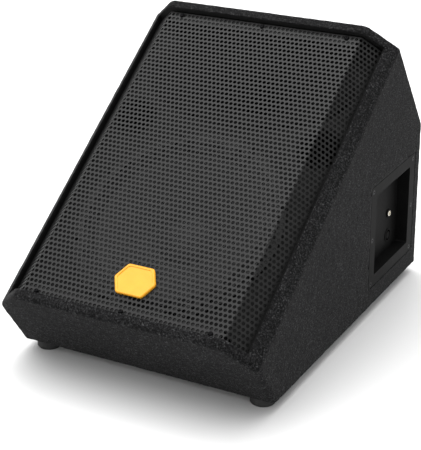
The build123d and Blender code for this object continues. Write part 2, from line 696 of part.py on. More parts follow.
def make_driver_suspension():
    base = DRIVER_SEAT - 1.0
    roll = wave_shell(DIAPHRAGM_RADIUS + FIT_GAP, 30, -1.6, (base, base), 1, 0.3)
    return TO_HORN * (roll + ring(30, 36, DRIVER_SEAT - 1.3, DRIVER_SEAT))


def make_driver_rear_cover():
    """A cup over the diaphragm, closed at the back."""
    back = DRIVER_SEAT - 20
    return TO_HORN * turned((0, back), (DRIVER_RADIUS - 3, back), (DRIVER_RADIUS, back + 3),
                            (DRIVER_RADIUS, DRIVER_SEAT), (37, DRIVER_SEAT), (37, back + 3), (0, back + 3))


# ---------------------------------------------------------------- ports and crossover
PORT_INNER = 26.0
PORT_OUTER = 28.5
PORT_LENGTH = 100.0


def make_port_tubes():
    tube = turned((PORT_INNER, -PORT_LENGTH), (PORT_OUTER, -PORT_LENGTH), (PORT_OUTER, 0), (34, 0), (34, 1.5),
                  (32, 3), (30, 3), (PORT_INNER + 1, 0), (PORT_INNER, -3))
    return together([FRONT * Pos(side * PORT_PLACE[0], PORT_PLACE[1], 0) * tube for side in (-1, 1)])


BOARD_CENTRE = (0.0, KICK_FOOT[0] + 380.0)
BOARD_SIZE = (140.0, 100.0)
BOARD_LEVEL = FOOT_HEIGHT + SKIN + 10.0
CIRCUIT = 1.6
ON_BOARD = Pos(*BOARD_CENTRE, BOARD_LEVEL + CIRCUIT)
board_fixings = [Pos(x, y, 0) for x in (-64, 64) for y in (-44, 44)]


def make_crossover_board():
    plate = Box(*BOARD_SIZE, CIRCUIT) - [place * Cylinder(1.8, 4) for place in board_fixings]
    return Pos(*BOARD_CENTRE, BOARD_LEVEL + CIRCUIT / 2) * plate


def make_crossover_spacers():
    """Sleeves under the board, each with the screw that holds it down."""
    spacer = ring(1.7, 4.0, -10 - CIRCUIT, -CIRCUIT) + rod(1.7, -18 - CIRCUIT, 0) + rod(3.2, 0, 2)
    return together([ON_BOARD * place * spacer for place in board_fixings])


def make_crossover_inductors():
    """Two wound coils on bobbins, one standing and one lying flat."""
    flat = ring(9, 20, 2, 20) + ring(9, 23, 0, 2) + ring(9, 23, 20, 22)
    standing = Rot(0, 90, 0) * (ring(7, 16, -9, 9) + ring(7, 18, -11, -9) + ring(7, 18, 9, 11))
    return together([ON_BOARD * Pos(-35, 14, 0) * flat, ON_BOARD * Pos(28, 22, 18) * standing])


def make_crossover_capacitors():
    pieces = [ON_BOARD * Pos(x, -26, radius) * Rot(0, 90, 0) * Cylinder(radius, 32)
              for x, radius in ((-42, 9.0), (0, 9.0), (40, 7.0))]
    return together(pieces)


def make_crossover_resistor():
    return ON_BOARD * Pos(22, -6, 5) * Box(40, 9.5, 10)


# ---------------------------------------------------------------- connector panel
JACK_BUSH = 4.6
JACK_MOUTH = RECESS_FLOOR + 3.6
HOUSING_BACK = RECESS_FLOOR - PLATE_THICKNESS - 24
SOCKET_BODY = 10.0
SOCKET_MOUTH = 8.4
SOCKET_CORE = 5.6


def make_connector_plate():
    body = dish(PLATE_SIZE, RECESS_SIZE, RECESS_DEPTH, PLATE_CORNER, plate_screw_places)
    floor = (RECESS_FLOOR - PLATE_THICKNESS - 1, RECESS_FLOOR + 1)
    jack_hole = on_right(JACK_PLACE) * rod(JACK_BUSH + 0.1, *floor)
    socket_hole = on_right(SOCKET_PLACE) * rod(SOCKET_BODY + 0.2, *floor)
    return on_right(PLATE_PLACE) * body - jack_hole - socket_hole


def make_connector_gasket():
    """A flat seal between the plate's recess and the inside of the side panel."""
    length, height = RECESS_SIZE[0] + 2 * PLATE_THICKNESS, RECESS_SIZE[1] + 2 * PLATE_THICKNESS
    inside = FACE - SIDE_SKIN
    outer = slab(length + 20, height + 20, inside - 2, inside, 12.0)
    return on_right(PLATE_PLACE) * (outer - slab(length + 0.4, height + 0.4, inside - 3, inside + 1, 6.2))


def make_connector_screws():
    return screw_row(on_right(PLATE_PLACE), plate_screw_places)


def make_jack_bush():
    """Bright threaded sleeve that the plug slides into, through the recess floor."""
    sleeve = ring(JACK_RADIUS, JACK_BUSH, JACK_MOUTH - JACK_LENGTH, JACK_MOUTH)
    mouth_edge = sleeve.edges().filter_by(GeomType.CIRCLE).group_by(Axis.Z)[-1].sort_by(SortBy.RADIUS)[-1]
    return on_right(JACK_PLACE) * chamfer(mouth_edge, 0.5)


def make_jack_body():
    """Contact housing round the sleeve, behind the recess floor."""
    housing = slab(16, 19, HOUSING_BACK, RECESS_FLOOR - PLATE_THICKNESS, 2.0)
    return on_right(JACK_PLACE) * (housing - rod(JACK_BUSH, JACK_MOUTH - JACK_LENGTH, RECESS_FLOOR))


def make_jack_nut():
    nut = extrude(Pos(0, 0, RECESS_FLOOR) * RegularPolygon(6.6, 6), amount=1.8)
    return on_right(JACK_PLACE) * (nut - rod(JACK_BUSH + 0.05, RECESS_FLOOR - 1, RECESS_FLOOR + 3))


def make_speaker_socket():
    """Twist-lock speaker socket, held from behind: a lip, a barrel and a core inside its round mouth."""
    back = RECESS_FLOOR - PLATE_THICKNESS
    face = RECESS_FLOOR + 1.0
    lip = rod(SOCKET_BODY + 0.8, RECESS_FLOOR, face)
    barrel = rod(SOCKET_BODY, back - 18, face)
    backplate = rod(13.0, back - 2.5, back)
    mouth = ring(SOCKET_CORE, SOCKET_MOUTH, back - 13, face + 1)
    return on_right(SOCKET_PLACE) * (lip + barrel + backplate - mouth)


# ---------------------------------------------------------------- wiring
def inside(x, y, z):
    """A place in the cabinet, measured back from the kick panel's foot and up from the underside."""
    return (x, KICK_FOOT[0] + y, KICK_FOOT[1] + z)


WIRE_RADIUS = 2.5
BOARD_TOP = BOARD_LEVEL + CIRCUIT - FOOT_HEIGHT


def make_input_wires():
    """From the back of the jack down to the crossover."""
    route = [inside(HOUSING_BACK, *JACK_PLACE), inside(HOUSING_BACK - 24, *JACK_PLACE), inside(106, 420, 96),
             inside(88, 412, 74), inside(70, 406, 56), inside(60, 404, 40), inside(60, 404, BOARD_TOP)]
    return wire(route, WIRE_RADIUS)


def make_woofer_wires():
    """From the woofer's tag strip to the crossover."""
    route = [inside(0, 207, 157), inside(-4, 236, 150), inside(-9, 266, 132), inside(-12, 292, 108),
             inside(-10, 314, 82), inside(-6, 334, 56), inside(-6, 334, BOARD_TOP)]
    return wire(route, WIRE_RADIUS)


def make_driver_wires():
    """From the back of the compression driver to the crossover."""
    route = [inside(0, 400, 200), inside(4, 414, 181), inside(10, 427, 156), inside(11, 433, 128),
             inside(6, 432, 98), inside(2, 425, 62), inside(2, 425, BOARD_TOP)]
    return wire(route, WIRE_RADIUS)


# ---------------------------------------------------------------- handle and feet
def make_handle_cup():
    body = dish(HANDLE_PLATE, HANDLE_OPENING, HANDLE_DEPTH, HANDLE_CORNER, handle_screw_places)
    return on_left(HANDLE_PLACE) * body


def make_handle_bar():
    """A round grip across the pocket, end to end."""
    bar = Pos(0, 0, FACE - GRIP_RADIUS - 2) * Rot(0, 90, 0) * Cylinder(GRIP_RADIUS, HANDLE_OPENING[0])
    return on_left(HANDLE_PLACE) * bar


def make_handle_screws():
    return screw_row(on_left(HANDLE_PLACE), handle_screw_places)


def make_rubber_feet():
    foot = turned((2.6, FOOT_HEIGHT), (FOOT_RADIUS, FOOT_HEIGHT), (FOOT_RADIUS, 2.5), (FOOT_RADIUS - 1, 0.7),
                  (FOOT_RADIUS - 3, 0), (6, 0), (6, 7), (2.6, 7))
    return together([place * foot for place in foot_places])


def make_foot_screws():
    fixing = Pos(0, 0, 7) * Rot(180, 0, 0) * screw(4.5, 2.6, 2.0, 18)
    return together([place * fixing for place in foot_places])


# ---------------------------------------------------------------- write every sub-part
parts = {
    "side_panel_left": make_side_panel(-1),
    "side_panel_right": make_side_panel(1),
    "top_panel": make_cross_board(top_line, front_line(CARPET), back_line(CARPET)),
    "kick_panel": make_cross_board(kick_line, front_line(CARPET), bottom_line(CARPET)),
    "bottom_panel": make_bottom_panel(),
    "back_panel": make_cross_board(back_line, top_line(SKIN), bottom_line(CARPET)),
    "baffle_board": make_baffle_board(),
    "baffle_cleats": make_baffle_cleats(),
    "grille_battens": make_grille_battens(),
    "corner_battens": make_corner_battens(),
    "carpet_cover": make_carpet_cover(),
    "damping_wadding": make_damping_wadding(),
    "grille": make_grille(),
    "grille_screws": make_grille_screws(),
    "badge": make_badge(),
    "badge_clips": make_badge_clips(),
    "woofer_basket": make_woofer_basket(),
    "woofer_gasket": make_woofer_gasket(),
    "woofer_screws": make_woofer_screws(),
    "woofer_tee_nuts": make_woofer_tee_nuts(),
    "woofer_top_plate": make_woofer_top_plate(),
    "woofer_magnet": make_woofer_magnet(),
    "woofer_back_plate": make_woofer_back_plate(),
    "woofer_surround": make_woofer_surround(),
    "woofer_cone": make_woofer_cone(),
    "woofer_dust_cap": make_woofer_dust_cap(),
    "woofer_coil_former": make_woofer_coil_former(),
    "woofer_coil": make_woofer_coil(),
    "woofer_spider": make_woofer_spider(),
    "woofer_terminals": make_woofer_terminals(),
    "horn": make_horn(),
    "horn_screws": make_horn_screws(),
    "driver_pole_plate": make_driver_pole_plate(),
    "driver_magnet": make_driver_magnet(),
    "driver_top_plate": make_driver_top_plate(),
    "driver_phase_plug": make_driver_phase_plug(),
    "driver_diaphragm": make_driver_diaphragm(),
    "driver_suspension": make_driver_suspension(),
    "driver_rear_cover": make_driver_rear_cover(),
    "port_tubes": make_port_tubes(),
    "crossover_board": make_crossover_board(),
    "crossover_spacers": make_crossover_spacers(),
    "crossover_inductors": make_crossover_inductors(),
    "crossover_capacitors": make_crossover_capacitors(),
    "crossover_resistor": make_crossover_resistor(),
    "connector_plate": make_connector_plate(),
    "connector_gasket": make_connector_gasket(),
    "connector_screws": make_connector_screws(),
    "jack_bush": make_jack_bush(),
    "jack_body": make_jack_body(),
    "jack_nut": make_jack_nut(),
    "speaker_socket": make_speaker_socket(),
    "input_wires": make_input_wires(),
    "woofer_wires": make_woofer_wires(),
    "driver_wires": make_driver_wires(),
    "handle_cup": make_handle_cup(),
    "handle_bar": make_handle_bar(),
    "handle_screws": make_handle_screws(),
    "rubber_feet": make_rubber_feet(),
    "foot_screws": make_foot_screws(),
}

os.makedirs("parts", exist_ok=True)
for name, part in parts.items():
    export_step(part, f"parts/{name}.step")
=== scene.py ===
"""Stage monitor wedge: a carpeted floor loudspeaker with a folded, perforated steel grille.

Metres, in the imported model's own frame: +X is the side with the connectors, +Y the back, +Z up.
"""
import json
from math import atan2, cos, pi, radians, sin, tan

import bmesh
import bpy
import numpy as np
from mathutils import Matrix, Vector, noise

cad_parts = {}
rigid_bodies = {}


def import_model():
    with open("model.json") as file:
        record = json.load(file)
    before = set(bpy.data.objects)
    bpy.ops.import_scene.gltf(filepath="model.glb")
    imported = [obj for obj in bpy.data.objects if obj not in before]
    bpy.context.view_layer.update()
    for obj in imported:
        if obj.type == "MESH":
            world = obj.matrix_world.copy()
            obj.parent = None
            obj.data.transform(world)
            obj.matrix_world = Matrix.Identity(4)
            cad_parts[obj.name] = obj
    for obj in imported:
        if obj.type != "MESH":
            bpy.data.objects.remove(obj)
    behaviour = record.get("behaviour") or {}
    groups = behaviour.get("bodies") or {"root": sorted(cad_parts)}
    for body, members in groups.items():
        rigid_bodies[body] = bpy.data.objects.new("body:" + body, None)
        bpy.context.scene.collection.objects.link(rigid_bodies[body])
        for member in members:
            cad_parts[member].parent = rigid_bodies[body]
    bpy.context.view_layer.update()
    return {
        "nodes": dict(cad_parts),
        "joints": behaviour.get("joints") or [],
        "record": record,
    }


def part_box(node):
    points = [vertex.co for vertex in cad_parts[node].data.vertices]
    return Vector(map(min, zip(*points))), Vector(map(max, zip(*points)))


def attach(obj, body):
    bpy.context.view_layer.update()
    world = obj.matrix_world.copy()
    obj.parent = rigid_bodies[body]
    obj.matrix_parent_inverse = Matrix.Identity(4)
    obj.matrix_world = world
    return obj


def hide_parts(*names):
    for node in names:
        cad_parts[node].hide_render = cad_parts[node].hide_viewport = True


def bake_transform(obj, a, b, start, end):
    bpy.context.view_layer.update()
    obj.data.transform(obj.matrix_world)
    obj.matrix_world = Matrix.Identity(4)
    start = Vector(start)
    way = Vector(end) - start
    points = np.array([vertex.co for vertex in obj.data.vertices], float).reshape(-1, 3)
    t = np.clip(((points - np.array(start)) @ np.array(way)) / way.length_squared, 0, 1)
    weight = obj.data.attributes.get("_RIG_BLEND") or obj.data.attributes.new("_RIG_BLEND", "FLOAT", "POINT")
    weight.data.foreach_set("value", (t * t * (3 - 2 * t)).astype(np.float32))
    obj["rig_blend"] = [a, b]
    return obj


for leftover in list(bpy.data.objects):
    bpy.data.objects.remove(leftover)

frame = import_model()
nodes = frame["nodes"]
MM = 0.001

# ---------------------------------------------------------------- the front's own directions
travel = next(joint for joint in frame["joints"] if joint["name"] == "woofer_travel")
OUTWARD = Vector(travel["axis"])                        # out of the grille
UP_SLOPE = Vector((0.0, OUTWARD.z, -OUTWARD.y))
ACROSS = Vector((1.0, 0.0, 0.0))

WIDTH = 404 * MM
FLAT_WIDTH = 320 * MM
EDGE_RISE = 43 * MM
GRILLE_RECESS = 8 * MM
GRILLE_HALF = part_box("grille")[1].x
GRILLE_RISE = EDGE_RISE - GRILLE_RECESS                 # the grille's face above the baffle's face


def slope_height(point):
    return point.dot(OUTWARD)


# the grille's face is its farthest level out of the slope, and its ends are measured up the slope
FACE_LEVEL = max(slope_height(vertex.co) for vertex in nodes["grille"].data.vertices)
GRILLE_START = min(vertex.co.dot(UP_SLOPE) for vertex in nodes["grille"].data.vertices)
GRILLE_END = max(vertex.co.dot(UP_SLOPE) for vertex in nodes["grille"].data.vertices)
BAFFLE_FACE_LEVEL = FACE_LEVEL - GRILLE_RISE


def on_front(x, along, rise):
    """A place on the front: across, up the slope from the grille's lower edge, out of its face."""
    return ACROSS * x + UP_SLOPE * (GRILLE_START + along) + OUTWARD * (FACE_LEVEL + rise)


# ---------------------------------------------------------------- camera, lights and floor
CAMERA_PLACE = Vector((924.0, -1709.7, 997.3)) * MM
CAMERA_AZIMUTH = radians(28.71)
CAMERA_ELEVATION = radians(23.59)
CAMERA_ROLL = radians(-0.49)
LONG_SIDE = 36.0
LENS = 115.8
CLIP_RANGE = (0.05, 50.0)


def make_camera():
    data = bpy.data.cameras.new("camera")
    data.sensor_width = LONG_SIDE
    data.lens = LENS
    data.clip_start, data.clip_end = CLIP_RANGE
    camera = bpy.data.objects.new("camera", data)
    bpy.context.scene.collection.objects.link(camera)
    level = cos(CAMERA_ELEVATION)
    back = Vector((sin(CAMERA_AZIMUTH) * level, -cos(CAMERA_AZIMUTH) * level, sin(CAMERA_ELEVATION)))
    right = Vector((cos(CAMERA_AZIMUTH), sin(CAMERA_AZIMUTH), 0.0))
    up = back.cross(right)
    turned_right = right * cos(CAMERA_ROLL) + up * sin(CAMERA_ROLL)
    turned_up = up * cos(CAMERA_ROLL) - right * sin(CAMERA_ROLL)
    axes = Matrix((turned_right, turned_up, back)).transposed()
    camera.matrix_world = Matrix.Translation(CAMERA_PLACE) @ axes.to_4x4()
    bpy.context.scene.camera = camera


def area_light(name, place, target, size, power):
    data = bpy.data.lights.new(name, "AREA")
    data.shape = "RECTANGLE"
    data.size, data.size_y = size
    data.energy = power
    light = bpy.data.objects.new(name, data)
    bpy.context.scene.collection.objects.link(light)
    light.location = place
    light.rotation_mode = "QUATERNION"
    light.rotation_quaternion = (Vector(target) - Vector(place)).to_track_quat("-Z", "Y")


def sun_light(name, direction, strength, softness):
    data = bpy.data.lights.new(name, "SUN")
    data.energy = strength
    data.angle = radians(softness)
    light = bpy.data.objects.new(name, data)
    bpy.context.scene.collection.objects.link(light)
    light.rotation_mode = "QUATERNION"
    light.rotation_quaternion = Vector(direction).to_track_quat("-Z", "Y")


SKY_STRENGTH = 0.95
FLOOR_HALF = 30.0
FLOOR_SHADE = 0.74


def make_studio():
    world = bpy.data.worlds.new("studio")
    bpy.context.scene.world = world
    world.use_nodes = True
    background = world.node_tree.nodes["Background"]
    background.inputs["Color"].default_value = (1.0, 1.0, 1.0, 1.0)
    background.inputs["Strength"].default_value = SKY_STRENGTH
    sun_light("overhead", direction=(0.25, -0.1, -1.0), strength=3.2, softness=75.0)
    area_light("strip_above_grille", place=(-0.9, 0.75, 2.9), target=(0.05, 0.0, 0.3),
               size=(1.3, 1.3), power=15.0)
    bpy.context.scene.view_settings.view_transform = "Standard"


def make_floor():
    mesh = bpy.data.meshes.new("floor")
    corners = [(x * FLOOR_HALF, y * FLOOR_HALF, 0) for x, y in ((-1, -1), (1, -1), (1, 1), (-1, 1))]
    mesh.from_pydata(corners, [], [(0, 1, 2, 3)])
    floor = bpy.data.objects.new("floor", mesh)
    bpy.context.scene.collection.objects.link(floor)
    mesh.materials.append(Look("floor", (FLOOR_SHADE,) * 3, 0.6).material)


# ---------------------------------------------------------------- procedural materials
class Look:
    """A Principled material with short helpers for procedural colour, roughness and bump."""

    def __init__(self, name, colour, roughness, metallic=0.0, **sockets):
        self.material = bpy.data.materials.new(name)
        self.material.use_nodes = True
        self.tree = self.material.node_tree
        self.shader = self.tree.nodes["Principled BSDF"]
        self.shader.inputs["Base Color"].default_value = (*colour, 1.0)
        self.shader.inputs["Roughness"].default_value = roughness
        self.shader.inputs["Metallic"].default_value = metallic
        for socket, value in sockets.items():
            self.shader.inputs[socket.replace("_", " ")].default_value = value
        self.material.diffuse_color = (*colour, 1.0)
        self.place = self.tree.nodes.new("ShaderNodeTexCoord").outputs["Object"]
        self.last_bump = None

    def node(self, kind, settings=None, **inputs):
        made = self.tree.nodes.new("ShaderNode" + kind)
        for key, value in (settings or {}).items():
            setattr(made, key, value)
        for key, value in inputs.items():
            socket = made.inputs[key.replace("_", " ")]
            if isinstance(value, bpy.types.NodeSocket):
                self.tree.links.new(value, socket)
            else:
                socket.default_value = value
        return made

    def stretched(self, scale, turn=(0.0, 0.0, 0.0)):
        return self.node("Mapping", Vector=self.place, Scale=scale, Rotation=turn).outputs["Vector"]

    def noise(self, scale, detail=3.0, rough=0.6, place=None):
        made = self.node("TexNoise", Vector=place or self.place, Scale=scale, Detail=detail, Roughness=rough)
        return made.outputs["Fac"]

    def cells(self, scale, feature="F1", place=None):
        made = self.node("TexVoronoi", {"feature": feature}, Vector=place or self.place, Scale=scale)
        return made.outputs["Distance"]

    def wave(self, scale, distortion=2.0, place=None, **inputs):
        made = self.node("TexWave", Vector=place or self.place, Scale=scale, Distortion=distortion, **inputs)
        return made.outputs["Fac"]

    def ramp(self, source, *stops):
        """source turned into a colour by stops of (position, colour)."""
        made = self.node("ValToRGB", Fac=source)
        elements = made.color_ramp.elements
        while len(elements) < len(stops):
            elements.new(0.5)
        for element, (position, colour) in zip(elements, stops):
            element.position = position
            element.color = (*colour, 1.0)
        return made.outputs["Color"]

    def span(self, source, low, high, start=0.0, end=1.0):
        """source, from start to end, as a value from low to high."""
        made = self.node("MapRange", Value=source, From_Min=start, From_Max=end, To_Min=low, To_Max=high)
        return made.outputs["Result"]

    def mix(self, share, first, second, blend="MIX"):
        made = self.node("Mix", {"data_type": "RGBA", "blend_type": blend})
        for index, value in ((0, share), (6, first), (7, second)):
            if isinstance(value, bpy.types.NodeSocket):
                self.tree.links.new(value, made.inputs[index])
            else:
                made.inputs[index].default_value = value if index == 0 else (*value, 1.0)
        return made.outputs[2]

    def colour(self, source):
        self.tree.links.new(source, self.shader.inputs["Base Color"])

    def roughness(self, source, low, high):
        self.tree.links.new(self.span(source, low, high), self.shader.inputs["Roughness"])

    def bump(self, source, strength, distance):
        made = self.node("Bump", Height=source, Strength=strength, Distance=distance)
        if self.last_bump:
            self.tree.links.new(self.last_bump, made.inputs["Normal"])
        self.last_bump = made.outputs["Normal"]
        self.tree.links.new(self.last_bump, self.shader.inputs["Normal"])


def scaled(colour, share):
    return tuple(share * part for part in colour)


def felt_look():
    """Black needle-felt: matted fibres with paler specks, trodden a little unevenly."""
    look = Look("carpet", (0.014, 0.014, 0.0145), 0.95,
                Specular_IOR_Level=0.08, Sheen_Weight=0.03, Sheen_Roughness=0.5)
    tufts = look.noise(420.0, 4.0, 0.75)
    fibres = look.noise(1500.0, 2.0, 0.8)
    clumps = look.noise(130.0, 3.0, 0.6)
    patches = look.noise(14.0, 2.0, 0.5)
    dark = look.ramp(tufts, (0.36, (0.0018, 0.0018, 0.002)), (0.49, (0.006, 0.006, 0.0063)),
                     (0.59, (0.022, 0.022, 0.0225)), (0.69, (0.08, 0.08, 0.082)))
    uneven = look.ramp(clumps, (0.35, (0.7, 0.7, 0.7)), (0.7, (1.25, 1.25, 1.25)))
    worn = look.ramp(patches, (0.3, (0.85, 0.85, 0.85)), (0.7, (1.1, 1.1, 1.1)))
    look.colour(look.mix(1.0, look.mix(1.0, dark, uneven, "MULTIPLY"), worn, "MULTIPLY"))
    look.bump(clumps, 0.4, 0.8 * MM)
    look.bump(tufts, 0.7, 0.5 * MM)
    look.bump(fibres, 0.5, 0.2 * MM)
    return look.material


def paint_look(name, shade=0.012, gloss=0.42, specular=0.5):
    """Satin black powder coat with a fine orange peel and a few dusty patches."""
    look = Look(name, (shade, shade, shade * 1.03), gloss, Specular_IOR_Level=specular)
    peel = look.noise(900.0, 2.0, 0.5)
    dust = look.noise(45.0, 4.0, 0.6)
    look.colour(look.ramp(dust, (0.35, (shade * 0.8,) * 3), (0.75, (shade * 1.9,) * 3)))
    look.roughness(dust, gloss - 0.06, gloss + 0.12)
    look.bump(peel, 0.25, 0.05 * MM)
    return look.material


def plastic_look(name, shade, gloss, grain=700.0, tint=(1.0, 1.0, 1.0), specular=0.5):
    """Moulded plastic with a spark-eroded grain."""
    base = scaled(tint, shade)
    look = Look(name, base, gloss, Specular_IOR_Level=specular)
    pits = look.cells(grain)
    cloud = look.noise(30.0, 3.0, 0.5)
    look.colour(look.ramp(cloud, (0.3, scaled(base, 0.8)), (0.75, scaled(base, 1.35))))
    look.roughness(cloud, gloss - 0.05, gloss + 0.08)
    look.bump(pits, 0.35, 0.12 * MM)
    return look.material


def amber_look():
    """Translucent-looking amber plastic with a faintly cloudy tone and fine polishing marks."""
    look = Look("amber", (0.78, 0.34, 0.015), 0.34, Specular_IOR_Level=0.3)
    cloud = look.noise(60.0, 3.0, 0.5)
    look.colour(look.ramp(cloud, (0.3, (0.76, 0.335, 0.013)), (0.7, (0.82, 0.37, 0.018))))
    marks = look.noise(300.0, 4.0, 0.6, look.stretched((6.0, 1.0, 1.0)))
    look.roughness(marks, 0.22, 0.4)
    look.bump(marks, 0.08, 0.05 * MM)
    return look.material


def metal_look(name, colour, gloss, streak=(1.0, 1.0, 12.0), scuffs=0.12):
    """Plated or turned metal with directional polishing marks and faint tarnish."""
    look = Look(name, colour, gloss, 1.0)
    marks = look.noise(420.0, 4.0, 0.65, look.stretched(streak))
    cloud = look.noise(70.0, 3.0, 0.55)
    look.colour(look.ramp(cloud, (0.25, scaled(colour, 0.72)), (0.7, colour)))
    look.roughness(marks, max(0.03, gloss - scuffs), gloss + scuffs)
    look.bump(marks, 0.12, 0.03 * MM)
    return look.material


def rubber_look(name="rubber", shade=0.014):
    look = Look(name, (shade,) * 3, 0.75)
    cloud = look.noise(90.0, 4.0, 0.6)
    grain = look.noise(1300.0, 2.0, 0.5)
    look.colour(look.ramp(cloud, (0.35, (shade * 0.7,) * 3), (0.75, (shade * 2.2,) * 3)))
    look.roughness(cloud, 0.62, 0.88)
    look.bump(grain, 0.4, 0.08 * MM)
    return look.material


def wood_look(name, pale, dark, grain=26.0, painted_front=True):
    """Plywood with long wavy grain and pores, painted black where it stands in front of the baffle."""
    look = Look(name, pale, 0.65, Specular_IOR_Level=0.2)
    rings = look.wave(grain, 5.0, look.stretched((1.0, 0.18, 1.0)), Detail=3.0)
    pores = look.noise(600.0, 3.0, 0.7, look.stretched((1.0, 0.05, 1.0)))
    bare = look.mix(look.span(pores, 0.0, 0.5, 0.45, 0.7), look.ramp(rings, (0.2, dark), (0.8, pale)), dark)
    if painted_front:
        reach = look.node("VectorMath", {"operation": "DOT_PRODUCT"})
        look.tree.links.new(look.place, reach.inputs[0])
        reach.inputs[1].default_value = OUTWARD
        paint = look.ramp(pores, (0.3, (0.003, 0.003, 0.003)), (0.7, (0.007, 0.007, 0.007)))
        share = look.span(reach.outputs["Value"], 0.0, 1.0, BAFFLE_FACE_LEVEL - MM, BAFFLE_FACE_LEVEL)
        bare = look.mix(share, bare, paint)
    look.colour(bare)
    look.roughness(pores, 0.55, 0.8)
    look.bump(pores, 0.3, 0.1 * MM)
    return look.material


def cloth_look(name, colour, weave=1100.0, gloss=0.8):
    """Plain woven cloth stiffened with dope or resin."""
    look = Look(name, colour, gloss, Sheen_Weight=0.15)
    warp = look.wave(weave, 0.4, None, Detail=1.0)
    weft = look.wave(weave, 0.4, look.stretched((1.0, 1.0, 1.0), (0.0, 0.0, pi / 2)), Detail=1.0)
    cloud = look.noise(50.0, 3.0, 0.6)
    threads = look.mix(0.5, warp, weft)
    look.colour(look.ramp(cloud, (0.3, scaled(colour, 0.6)), (0.75, scaled(colour, 1.3))))
    look.bump(threads, 0.5, 0.12 * MM)
    return look.material


def paper_look():
    """Pulp cone with pressed fibres and a thin coating."""
    look = Look("cone_paper", (0.02, 0.02, 0.02), 0.7)
    fibres = look.noise(380.0, 5.0, 0.7)
    look.colour(look.ramp(fibres, (0.35, (0.012, 0.012, 0.012)), (0.7, (0.04, 0.04, 0.041))))
    look.roughness(fibres, 0.55, 0.85)
    look.bump(fibres, 0.5, 0.2 * MM)
    return look.material


def wadding_look():
    look = Look("wadding", (0.72, 0.71, 0.67), 0.95, Sheen_Weight=0.5)
    fluff = look.noise(160.0, 5.0, 0.75)
    look.colour(look.ramp(fluff, (0.3, (0.45, 0.44, 0.4)), (0.7, (0.8, 0.79, 0.76))))
    look.bump(fluff, 0.9, 1.5 * MM)
    return look.material


looks = {
    "carpet": felt_look(),
    "plywood": wood_look("plywood", (0.55, 0.38, 0.22), (0.36, 0.22, 0.11)),
    "black_wood": wood_look("black_wood", (0.007, 0.007, 0.007), (0.003, 0.003, 0.003), painted_front=False),
    "wadding": wadding_look(),
    "grille_paint": paint_look("grille_paint", 0.006, 0.42, 0.21),
    "amber": amber_look(),
    "black_plastic": plastic_look("black_plastic", 0.004, 0.6, specular=0.06),
    "black_paint": paint_look("black_paint", 0.008, 0.5, 0.25),
    "zinc_steel": metal_look("zinc_steel", (0.62, 0.62, 0.6), 0.32),
    "black_screw": metal_look("black_screw", (0.008, 0.008, 0.0085), 0.5),
    "nickel": metal_look("nickel", (0.82, 0.78, 0.68), 0.16, scuffs=0.06),
    "rubber": rubber_look(),
    "foam": rubber_look("foam", 0.02),
    "cone_paper": paper_look(),
    "treated_cloth": cloth_look("treated_cloth", (0.02, 0.02, 0.021), gloss=0.6),
    "spider_cloth": cloth_look("spider_cloth", (0.5, 0.32, 0.1)),
    "ferrite": plastic_look("ferrite", 0.03, 0.55, 300.0),
    "copper": metal_look("copper", (0.7, 0.3, 0.14), 0.35, (1.0, 1.0, 30.0)),
    "film": plastic_look("film", 0.5, 0.3, 900.0, (1.0, 0.5, 0.12)),
    "metal_dome": metal_look("metal_dome", (0.72, 0.72, 0.74), 0.25),
    "fibreboard": plastic_look("fibreboard", 0.16, 0.45, 500.0, (0.2, 1.0, 0.4)),
    "capacitor": plastic_look("capacitor", 0.5, 0.3, 500.0, (1.0, 0.7, 0.12)),
    "wire_red": rubber_look("wire_red", 0.02),
}


# ---------------------------------------------------------------- carried-over CAD nodes
EDGE_SOFTENING = 0.35 * MM
SHARP = radians(32.0)
PLAIN_NODES = {"carpet_cover"}


def dress_nodes():
    """Gives every CAD node its material and welds its points; all but the plain nodes get slightly softened
    edges.
    """
    for part in frame["record"]["subparts"]:
        node = nodes[part["node"]]
        node.data.materials.clear()
        node.data.materials.append(looks[part["material_slot"]])
        weld = node.modifiers.new("weld", "WELD")
        weld.merge_threshold = 0.001 * MM
        if part["node"] not in PLAIN_NODES:
            bevel = node.modifiers.new("bevel", "BEVEL")
            bevel.width = EDGE_SOFTENING
            bevel.segments = 2
            bevel.limit_method = "ANGLE"
            bevel.angle_limit = SHARP
            bevel.use_clamp_overlap = True


# ---------------------------------------------------------------- grille
HOLE_SPACING = 6.826 * MM        # along a row
ROW_SPACING = 7.587 * MM         # up the slope; alternate rows move half a spacing
HOLE_RADIUS = 2.7 * MM
HOLE_MARGIN = 0.8 * MM           # least metal between a row's last hole and the grille's edge
SHEET = 1.0 * MM
FOLD_RADIUS = 4.0 * MM
GRILLE_ROWS = 67
KEYS_PER_METRE = 1e7             # points that round to one key are one point


def hole_corner(centre, degrees):
    angle = radians(degrees)
    return (centre[0] + HOLE_RADIUS * cos(angle), centre[1] + HOLE_RADIUS * sin(angle))


def hole_at(row, across):
    """The hole of a row with its centre at this place across, if there is one."""
    return next((hole for hole in row if abs(hole[0] - across) < 0.1 * HOLE_SPACING), None)


